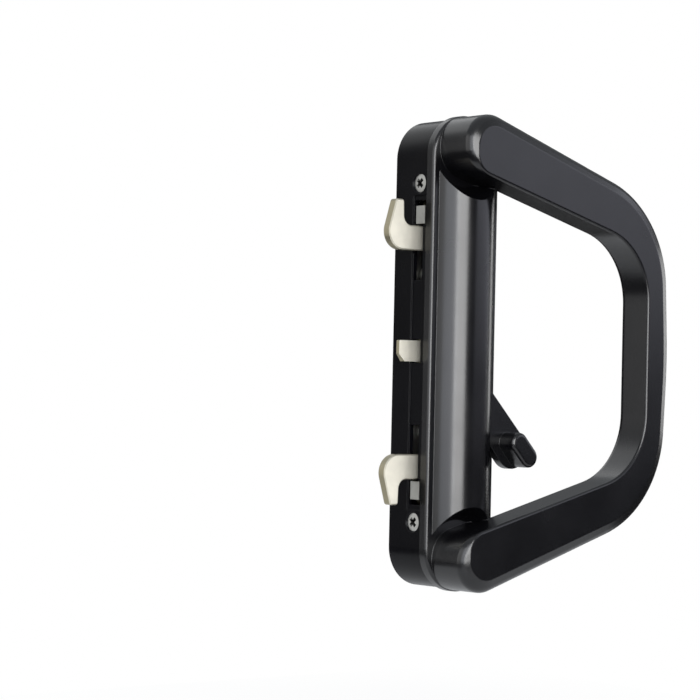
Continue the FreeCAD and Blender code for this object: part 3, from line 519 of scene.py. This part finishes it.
def grow(name, tree, values):
    """Run a geometry tree on an empty mesh and return the result as a plain object."""
    seed = scene_object(name + ".seed", bpy.data.meshes.new(name + ".seed"))
    modifier = seed.modifiers.new("Nodes", "NODES")
    modifier.node_group = tree
    for item in tree.interface.items_tree:
        if item.item_type == "SOCKET" and item.in_out == "INPUT":
            modifier[item.identifier] = values[item.name]
    mesh = finished_mesh(seed)
    if not mesh.polygons:
        raise RuntimeError(name + " came out empty")
    seed.modifiers.remove(modifier)
    bpy.data.objects.remove(seed)
    mesh.name = name
    return scene_object(name, mesh)


def settled(piece, body, slot, *nodes):
    """Put a finished piece in the place of CAD nodes on their body."""
    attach(piece, body)
    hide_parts(*nodes)


# Screw template

def turned_profile(profile, segments):
    """Spin a profile of radius and height round the Z axis into a closed mesh."""
    shape = bmesh.new()
    rings = []
    for radius, height in profile:
        if radius == 0:
            rings.append([shape.verts.new((0, 0, height))])
            continue
        angles = [2 * math.pi * step / segments for step in range(segments)]
        rings.append([
            shape.verts.new((radius * math.cos(angle), radius * math.sin(angle), height))
            for angle in angles])
    for low, high in zip(rings, rings[1:]):
        for step in range(segments):
            corners = [low[step % len(low)], low[(step + 1) % len(low)],
                       high[(step + 1) % len(high)], high[step % len(high)]]
            shape.faces.new(list(dict.fromkeys(corners)))
    bmesh.ops.recalc_face_normals(shape, faces=shape.faces)
    return shape


def side_screw_profile(head, length, dome):
    """Return an oval head screw's radii and heights, from its point to the top of its dome."""
    shank = head * SHANK_SHARE
    taper = head - shank
    rim = dome + head * RIM_SHARE
    rise = [(head * width, -dome * drop) for width, drop in DOME_STEPS]
    return [(0, -length), (shank * POINT_WIDTH, -length), (shank, -length + shank * POINT_LENGTH),
            (shank, -rim - taper), (head, -rim), (head, -dome), *rise, (0, 0)]


def cross_cutter(width, span, depth):
    """Return the tapered cross of a screwdriver's tip, its mouth at height zero."""
    shape = bmesh.new()
    levels = ((depth * CROSS_LIFT, CROSS_MOUTH), (-depth, CROSS_FLOOR))
    for crossways in (False, True):
        for level, (span_share, width_share) in levels:
            wide, thick = span * span_share, width * width_share
            for sign_a, sign_b in ((-1, -1), (1, -1), (1, 1), (-1, 1)):
                a, b = sign_a * wide / 2, sign_b * thick / 2
                shape.verts.new((-b, a, level) if crossways else (a, b, level))
    shape.verts.ensure_lookup_table()
    for base in (0, 8):
        points = shape.verts[base:base + 8]
        shape.faces.new(points[0:4])
        shape.faces.new(list(reversed(points[4:8])))
        for step in range(4):
            after = (step + 1) % 4
            shape.faces.new([points[step], points[4 + step], points[4 + after], points[after]])
    bmesh.ops.recalc_face_normals(shape, faces=shape.faces)
    return shape


def shape_object(name, shape):
    """Turn a shape into an object."""
    mesh = bpy.data.meshes.new(name)
    shape.to_mesh(mesh)
    shape.free()
    return scene_object(name, mesh)


def screw_template(name, profile, cross, turn):
    """Return a screw with a cross recess, turned to its driving direction."""
    blank = shape_object(name + ".blank", turned_profile(profile, SCREW_SIDES))
    cutter = shape_object(name + ".cutter", cross_cutter(*cross))
    cut = blank.modifiers.new("Recess", "BOOLEAN")
    cut.object = cutter
    cut.operation = "DIFFERENCE"
    cut.solver = "EXACT"
    cut.use_self = True
    mesh = finished_mesh(blank)
    bpy.data.objects.remove(blank)
    bpy.data.objects.remove(cutter)
    mesh.transform(turn)
    return scene_object(name, mesh)


# Stage helpers

def lit_group(name, pieces):
    """Return a collection of the pieces that a set of lamps lights."""
    group = bpy.data.collections.new(name)
    for piece in pieces:
        group.objects.link(piece)
    return group


def soft_box(lit, name, azimuth, width, low, high, distance, level, tint):
    """Add an upright lamp that faces the handle and lights one group of pieces."""
    data = bpy.data.lights.new(name, "AREA")
    data.shape = "RECTANGLE"
    data.color = tint
    data.size = 2 * distance * math.tan(math.radians(width / 2))
    data.size_y = high - low
    data.energy = level * math.pi * data.size * data.size_y
    lamp = scene_object(name, data)
    turn = math.radians(azimuth)
    inward = Vector((-math.sin(turn), math.cos(turn), 0.0))
    lamp.location = -inward * distance + Vector((0.0, 0.0, (low + high) / 2))
    lamp.rotation_euler = inward.to_track_quat("-Z", "Y").to_euler()
    lamp.visible_camera = False
    lamp.light_linking.receiver_collection = lit


def soft_boxes(lit, lamps, studio):
    """Add a set of lamps with their levels from the settings."""
    for name, azimuth, width, low, high, level, tint in lamps:
        soft_box(lit, name, azimuth, width, low, high,
                 studio.lamp_distance, getattr(studio, level), tint)


def white_share(tree, mirrored):
    """Return how much of the white a ray sees: all of it straight on, a share in gloss."""
    path = add_node(tree, "ShaderNodeLightPath").outputs
    straight = combined(tree, "MAXIMUM", path["Is Camera Ray"], path["Is Transmission Ray"])
    gloss = combined(tree, "MULTIPLY", path["Is Glossy Ray"], mirrored)
    return combined(tree, "MAXIMUM", straight, gloss)


def studio_world(scene, mirrored):
    """White where the camera looks, dim where gloss looks, so that soft boxes draw the forms."""
    world = bpy.data.worlds.new("studio")
    scene.world = world
    world.use_nodes = True
    tree = world.node_tree
    tree.nodes.clear()
    room = add_node(tree, "ShaderNodeBackground")
    room.inputs["Color"].default_value = ROOM_COLOUR
    seen = add_node(tree, "ShaderNodeBackground")
    seen.inputs["Color"].default_value = (*WHITE, 1.0)
    height = add_node(tree, "ShaderNodeSeparateXYZ")
    direction = add_node(tree, "ShaderNodeTexCoord").outputs["Generated"]
    join(tree, direction, height.inputs["Vector"])
    strength = ranged(tree, height.outputs["Z"], ROOM_HEIGHT_SPAN, ROOM_STRENGTH)
    join(tree, strength, room.inputs["Strength"])
    blend = add_node(tree, "ShaderNodeMixShader")
    join(tree, white_share(tree, mirrored), blend.inputs["Fac"])
    join(tree, room.outputs["Background"], blend.inputs[1])
    join(tree, seen.outputs["Background"], blend.inputs[2])
    output = add_node(tree, "ShaderNodeOutputWorld")
    join(tree, blend.outputs["Shader"], output.inputs["Surface"])


def floor_material(mirrored):
    """Return a floor that is white to the camera but for the handle's soft shadow."""
    material = bpy.data.materials.new("pale_floor")
    material.use_nodes = True
    tree = material.node_tree
    tree.nodes.clear()
    matt = add_node(tree, "ShaderNodeBsdfDiffuse")
    matt.inputs["Color"].default_value = FLOOR_COLOUR
    white = add_node(tree, "ShaderNodeEmission")
    reach = add_node(tree, "ShaderNodeVectorMath", operation="LENGTH")
    join(tree, add_node(tree, "ShaderNodeTexCoord").outputs["Object"], reach.inputs[0])
    round_shadow = ranged(tree, reach.outputs["Value"], SHADOW_REACH_SPAN, SHADOW_WHITE)
    share = combined(tree, "MULTIPLY", white_share(tree, mirrored), round_shadow)
    blend = add_node(tree, "ShaderNodeMixShader")
    join(tree, share, blend.inputs["Fac"])
    join(tree, matt.outputs["BSDF"], blend.inputs[1])
    join(tree, white.outputs["Emission"], blend.inputs[2])
    output = add_node(tree, "ShaderNodeOutputMaterial")
    join(tree, blend.outputs["Shader"], output.inputs["Surface"])
    return material


def studio_floor(level, mirrored):
    """Add the pale floor."""
    signs = ((-1, -1), (1, -1), (1, 1), (-1, 1))
    mesh = bpy.data.meshes.new("floor")
    corners = [(x * FLOOR_HALF, y * FLOOR_HALF, level) for x, y in signs]
    mesh.from_pydata(corners, [], [(0, 1, 2, 3)])
    mesh.materials.append(floor_material(mirrored))
    floor = scene_object("floor", mesh)
    return floor


def studio_camera(scene, studio):
    """Add the camera at its settings."""
    turn, tilt, roll = studio.azimuth, studio.elevation, studio.roll
    back = Vector((math.sin(turn) * math.cos(tilt), -math.cos(turn) * math.cos(tilt),
                   math.sin(tilt)))
    level_right = Vector((math.cos(turn), math.sin(turn), 0.0))
    level_up = back.cross(level_right)
    right = level_right * math.cos(roll) + level_up * math.sin(roll)
    up = level_up * math.cos(roll) - level_right * math.sin(roll)
    data = bpy.data.cameras.new("camera")
    data.lens = studio.lens
    data.clip_start = CLIP_START
    camera = scene_object("camera", data)
    pose = Matrix((right, up, back)).transposed().to_4x4()
    pose.translation = back * studio.distance + right * studio.aside + up * studio.above
    camera.matrix_world = pose
    scene.camera = camera


# Settings

class HandleFinish(bpy.types.PropertyGroup):
    """Colours and gloss of the handle's finishes."""

    paint: bpy.props.FloatVectorProperty(
        name="Paint", description="Colour of the black paint", size=3, subtype="COLOR",
        min=0.0, max=1.0, default=(0.0016, 0.0016, 0.0022))
    paint_low: bpy.props.FloatProperty(
        name="Paint gloss, low", description="Roughness of the paint where it is smoothest",
        subtype="FACTOR", min=0.0, max=1.0, default=0.22)
    paint_high: bpy.props.FloatProperty(
        name="Paint gloss, high", description="Roughness of the paint where it is haziest",
        subtype="FACTOR", min=0.0, max=1.0, default=0.28)
    nickel: bpy.props.FloatVectorProperty(
        name="Nickel", description="Colour of the satin nickel plate", size=3, subtype="COLOR",
        min=0.0, max=1.0, default=(0.92, 0.88, 0.76))
    sheared: bpy.props.FloatVectorProperty(
        name="Sheared edges", description="Colour of the hooks' sheared edges", size=3,
        subtype="COLOR", min=0.0, max=1.0, default=(0.33, 0.30, 0.21))
    zinc: bpy.props.FloatVectorProperty(
        name="Zinc", description="Colour of the zinc plated steel", size=3, subtype="COLOR",
        min=0.0, max=1.0, default=(0.36, 0.36, 0.34))
    steel: bpy.props.FloatVectorProperty(
        name="Steel", description="Colour of turned steel and spring wire", size=3,
        subtype="COLOR", min=0.0, max=1.0, default=(0.50, 0.50, 0.50))
    screw: bpy.props.FloatVectorProperty(
        name="Screws", description="Colour of the plated screws", size=3, subtype="COLOR",
        min=0.0, max=1.0, default=(0.45, 0.45, 0.43))
    brass: bpy.props.FloatVectorProperty(
        name="Brass", description="Colour of the lever's bush", size=3, subtype="COLOR",
        min=0.0, max=1.0, default=(0.72, 0.54, 0.27))


class HandleScrews(bpy.types.PropertyGroup):
    """Sizes of the screws and the spring."""

    cross_width: bpy.props.FloatProperty(
        name="Cross width", description="Width of a wing of the cross recess", unit="LENGTH",
        min=0.0, default=1.6 * MM)
    cross_span: bpy.props.FloatProperty(
        name="Cross span", description="Length of the cross recess over its wings", unit="LENGTH",
        min=0.0, default=5.2 * MM)
    cross_depth: bpy.props.FloatProperty(
        name="Cross depth", description="Depth of the cross recess", unit="LENGTH",
        min=0.0, default=2.2 * MM)
    dome: bpy.props.FloatProperty(
        name="Dome", description="Rise of a side screw's oval head", unit="LENGTH",
        min=0.0, default=0.6 * MM)
    spring_turns: bpy.props.FloatProperty(
        name="Spring turns", description="Turns of the plunger's spring", min=1.0, default=6.0)


class HandleStudio(bpy.types.PropertyGroup):
    """Camera, floor and lamps."""

    azimuth: bpy.props.FloatProperty(
        name="Azimuth", description="Turn of the camera round the handle", subtype="ANGLE",
        default=math.radians(-38.011))
    elevation: bpy.props.FloatProperty(
        name="Elevation", description="Tilt of the camera above the horizon", subtype="ANGLE",
        default=math.radians(-1.012))
    roll: bpy.props.FloatProperty(
        name="Roll", description="Lean of the camera", subtype="ANGLE",
        default=math.radians(1.254))
    distance: bpy.props.FloatProperty(
        name="Distance", description="Distance of the camera from the origin", unit="LENGTH",
        default=0.998255)
    aside: bpy.props.FloatProperty(
        name="Aside", description="Step of the camera to its right", unit="LENGTH",
        default=-0.030666)
    above: bpy.props.FloatProperty(
        name="Above", description="Step of the camera upwards", unit="LENGTH", default=0.001427)
    lens: bpy.props.FloatProperty(
        name="Lens", description="Focal length for a 36 mm sensor", subtype="DISTANCE_CAMERA",
        default=SENSOR_WIDTH * FOCAL_PIXELS / IMAGE_PIXELS)
    floor_drop: bpy.props.FloatProperty(
        name="Floor drop", description="Gap between the handle's lowest point and the floor",
        unit="LENGTH", default=0.07)
    mirrored: bpy.props.FloatProperty(
        name="Mirrored white", subtype="FACTOR", min=0.0, max=1.0, default=0.06,
        description="Share of the white background that gloss and metal mirror")
    lamp_distance: bpy.props.FloatProperty(
        name="Lamp distance", description="Distance of the soft boxes from the handle",
        unit="LENGTH", default=1.6)
    key_level: bpy.props.FloatProperty(
        name="Key box", description="Brightness of the soft box beside the camera",
        min=0.0, default=9.5)
    near_level: bpy.props.FloatProperty(
        name="Near wall", description="Brightness of the pale wall beside the key box",
        min=0.0, default=3.4)
    left_level: bpy.props.FloatProperty(
        name="Left wall", description="Brightness of the pale wall to the left",
        min=0.0, default=1.5)
    right_level: bpy.props.FloatProperty(
        name="Right box", description="Brightness of the soft box to the right",
        min=0.0, default=1.4)
    side_level: bpy.props.FloatProperty(
        name="Side wall", description="Brightness of the pale wall on the grip's side",
        min=0.0, default=2.4)
    back_level: bpy.props.FloatProperty(
        name="Back box", description="Brightness of the soft box behind the handle",
        min=0.0, default=1.0)
    tent_level: bpy.props.FloatProperty(
        name="Front tent", description="Brightness of the white tent before the bare metal",
        min=0.0, default=1.2)
    tent_side_level: bpy.props.FloatProperty(
        name="Side tents", min=0.0, default=0.9,
        description="Brightness of the white tents beside and behind the bare metal")


# Operators

class DressCastings(bpy.types.Operator):
    """Paint the lock case, the pull and the thumb lever"""

    bl_idname = "door_handle.castings"
    bl_label = "Paint castings"

    def execute(self, context):
        finish = context.scene.handle_finish
        colour = tuple(finish.paint)
        roughness = (finish.paint_low, finish.paint_high)
        dress(GLOSS_CASTINGS, painted("gloss_black_paint", colour, roughness, GLOSS_SHINE))
        dress(SATIN_CASTINGS, painted("satin_black_paint", colour, roughness, SATIN_SHINE))
        return {"FINISHED"}


class DressHooks(bpy.types.Operator):
    """Plate the hooks and the plunger"""

    bl_idname = "door_handle.hooks"
    bl_label = "Plate hooks"

    def execute(self, context):
        finish = context.scene.handle_finish
        nickel = plated("satin_nickel", tuple(finish.nickel), NICKEL_ROUGHNESS, EVEN_GRAIN,
                        NICKEL_METALLIC)
        sheared(nickel, tuple(finish.sheared))
        dress(NICKEL_PIECES, nickel)
        return {"FINISHED"}


class DressMechanism(bpy.types.Operator):
    """Finish the plates, pins and bush of the lock"""

    bl_idname = "door_handle.mechanism"
    bl_label = "Finish mechanism"

    def execute(self, context):
        finish = context.scene.handle_finish
        for name, colour, roughness, grain, pieces in (
                ("zinc_plated_steel", finish.zinc, ZINC_ROUGHNESS, ROLLED_GRAIN, ZINC_PIECES),
                ("turned_steel", finish.steel, STEEL_ROUGHNESS, TURNED_GRAIN, STEEL_PIECES),
                ("turned_brass", finish.brass, BRASS_ROUGHNESS, TURNED_GRAIN, BRASS_PIECES)):
            dress(pieces, plated(name, tuple(colour), roughness, grain))
        return {"FINISHED"}


class MakeScrews(bpy.types.Operator):
    """Make the side screws with cross recesses and plate the others"""

    bl_idname = "door_handle.screws"
    bl_label = "Make screws"

    def execute(self, context):
        sizes = context.scene.handle_screws
        colour = tuple(context.scene.handle_finish.screw)
        plating = plated("screw_plating", colour, ZINC_ROUGHNESS, EVEN_GRAIN)
        dress(PLAIN_SCREWS, plating)
        low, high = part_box("side_screws")
        head = (high.y - low.y) / 2
        middle = (low.y + high.y) / 2
        reach = (high.z - low.z) / 2 - head
        profile = side_screw_profile(head, high.x - low.x, sizes.dome)
        cross = (sizes.cross_width, sizes.cross_span, sizes.cross_depth)
        lying = Matrix.Rotation(math.radians(-90), 4, "Y")
        turn = lying @ Matrix.Rotation(math.radians(CROSS_TURN), 4, "Z")
        template = screw_template("side_screw", profile, cross, turn)
        row = grow("side_screw_pair", screw_row_tree(), {
            "Screw": template, "Count": 2, "First": (low.x, middle, -reach),
            "Step": (0.0, 0.0, 2 * reach), "Material": plating})
        bpy.data.objects.remove(template)
        settled(row, "case", "screw_steel", "side_screws")
        return {"FINISHED"}


class MakeSpring(bpy.types.Operator):
    """Wind the plunger's spring"""

    bl_idname = "door_handle.spring"
    bl_label = "Wind spring"

    def execute(self, context):
        colour = shade(tuple(context.scene.handle_finish.steel), WIRE_TONE)
        wire = plated("spring_wire", colour, WIRE_ROUGHNESS, EVEN_GRAIN)
        low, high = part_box("plunger_spring")
        middle = ((low.y + high.y) / 2, (low.z + high.z) / 2)
        spring = grow("wound_spring", coil_tree(), {
            "Turns": context.scene.handle_screws.spring_turns,
            "Coil Radius": (high.z - low.z) / 2 - WIRE_RADIUS,
            "Length": high.x - low.x - 2 * WIRE_RADIUS, "Wire Radius": WIRE_RADIUS,
            "Start": (low.x + WIRE_RADIUS, *middle), "Material": wire})
        settled(spring, "case", "spring_steel", "plunger_spring")
        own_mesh(spring)
        return {"FINISHED"}


class SetStage(bpy.types.Operator):
    """Set up the camera, the lamps and the pale floor"""

    bl_idname = "door_handle.stage"
    bl_label = "Set stage"

    def execute(self, context):
        scene = context.scene
        studio = scene.handle_studio
        scene.view_settings.view_transform = "Standard"
        studio_camera(scene, studio)
        pieces = [each for each in scene.objects if each.type == "MESH"]
        floor = studio_floor(CAD_BOX[0].z - studio.floor_drop, studio.mirrored)
        castings = [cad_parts[node] for node in (*GLOSS_CASTINGS, *SATIN_CASTINGS)]
        metal = [each for each in pieces if each not in castings]
        soft_boxes(lit_group("dark_pieces", [*castings, floor]), CASTING_LAMPS, studio)
        soft_boxes(lit_group("bright_pieces", metal), METAL_LAMPS, studio)
        studio_world(scene, studio.mirrored)
        return {"FINISHED"}


class HandlePanel(bpy.types.Panel):
    """Settings and steps of the door handle"""

    bl_idname = "VIEW3D_PT_door_handle"
    bl_label = "Door handle"
    bl_space_type = "VIEW_3D"
    bl_region_type = "UI"
    bl_category = "Door handle"

    def draw(self, context):
        for name in SETTINGS:
            settings = getattr(context.scene, name)
            box = self.layout.box()
            for key in type(settings).__annotations__:
                box.prop(settings, key)
        for step in STEPS:
            self.layout.operator(step.bl_idname)


STEPS = (DressCastings, DressHooks, DressMechanism, MakeScrews, MakeSpring, SetStage)
SETTINGS = {
    "handle_finish": HandleFinish,
    "handle_screws": HandleScrews,
    "handle_studio": HandleStudio,
}


def register():
    """Register the settings, steps and panel."""
    for name, group in SETTINGS.items():
        bpy.utils.register_class(group)
        setattr(bpy.types.Scene, name, bpy.props.PointerProperty(type=group))
    for item in (*STEPS, HandlePanel):
        bpy.utils.register_class(item)


def unregister():
    """Take the settings, steps and panel out again."""
    for item in (HandlePanel, *reversed(STEPS)):
        bpy.utils.unregister_class(item)
    for name, group in reversed(SETTINGS.items()):
        delattr(bpy.types.Scene, name)
        bpy.utils.unregister_class(group)


def main():
    """Dress the handle and set the stage."""
    register()
    bpy.ops.door_handle.castings()
    bpy.ops.door_handle.hooks()
    bpy.ops.door_handle.mechanism()
    bpy.ops.door_handle.screws()
    bpy.ops.door_handle.spring()
    bpy.ops.door_handle.stage()


if __name__ == "__main__":
    main()
